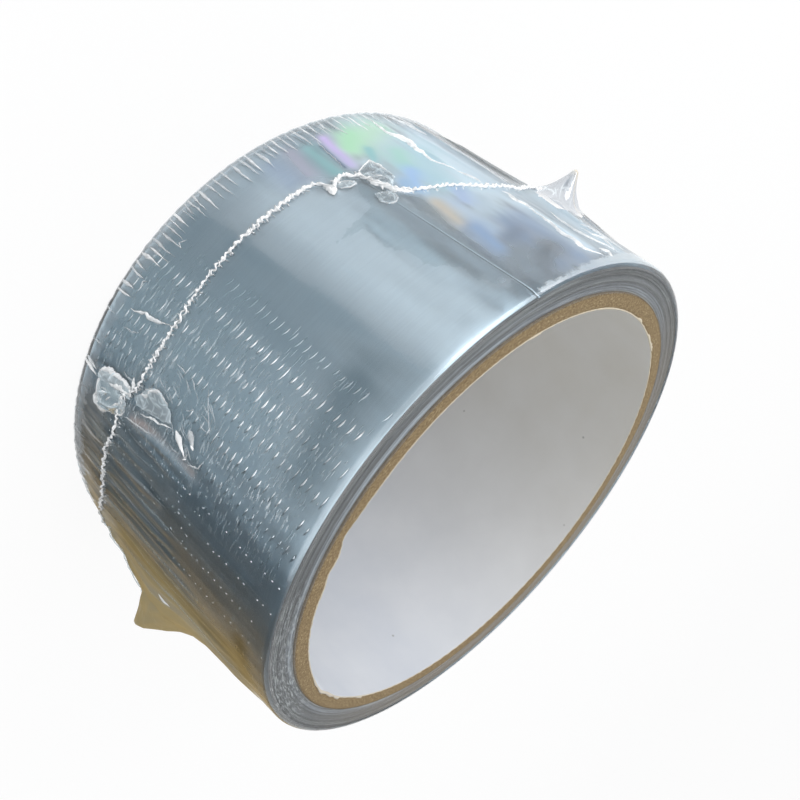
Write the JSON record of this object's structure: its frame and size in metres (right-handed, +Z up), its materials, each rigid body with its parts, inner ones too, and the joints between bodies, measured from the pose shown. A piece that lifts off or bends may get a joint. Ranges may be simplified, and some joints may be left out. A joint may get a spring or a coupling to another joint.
{
  "type": "roll of aluminium foil tape",
  "caption": "Short roll of cloth-backed foil tape on a kraft board core lined with white paper, wrapped in clear shrink film with a puckered seal and stand-off tabs.",
  "frame": {"origin": "centre of the bore at the lower end of the roll, on the surface that it stands on", "axes": "+Z up along the bore; -Y is the front, the side that the picture looks at; the tabs of the film point to about +X and -X"},
  "size_m": [0.1021, 0.0932, 0.0508],
  "materials": {
    "kraft_board": "spirally wound kraft board, slit edge rough and fibrous",
    "white_paper": "smooth white lining paper",
    "foil": "bright rolled foil laminated to an open cloth, relief of the threads showing",
    "clear_film": "clear shrunk polyolefin film, glossy, with gathers and a puckered seal"
  },
  "bodies": {
    "root": {"core_tube": "kraft_board", "core_liner": "white_paper", "tape": "foil", "shrink_film": "clear_film"}
  },
  "joints": []
}
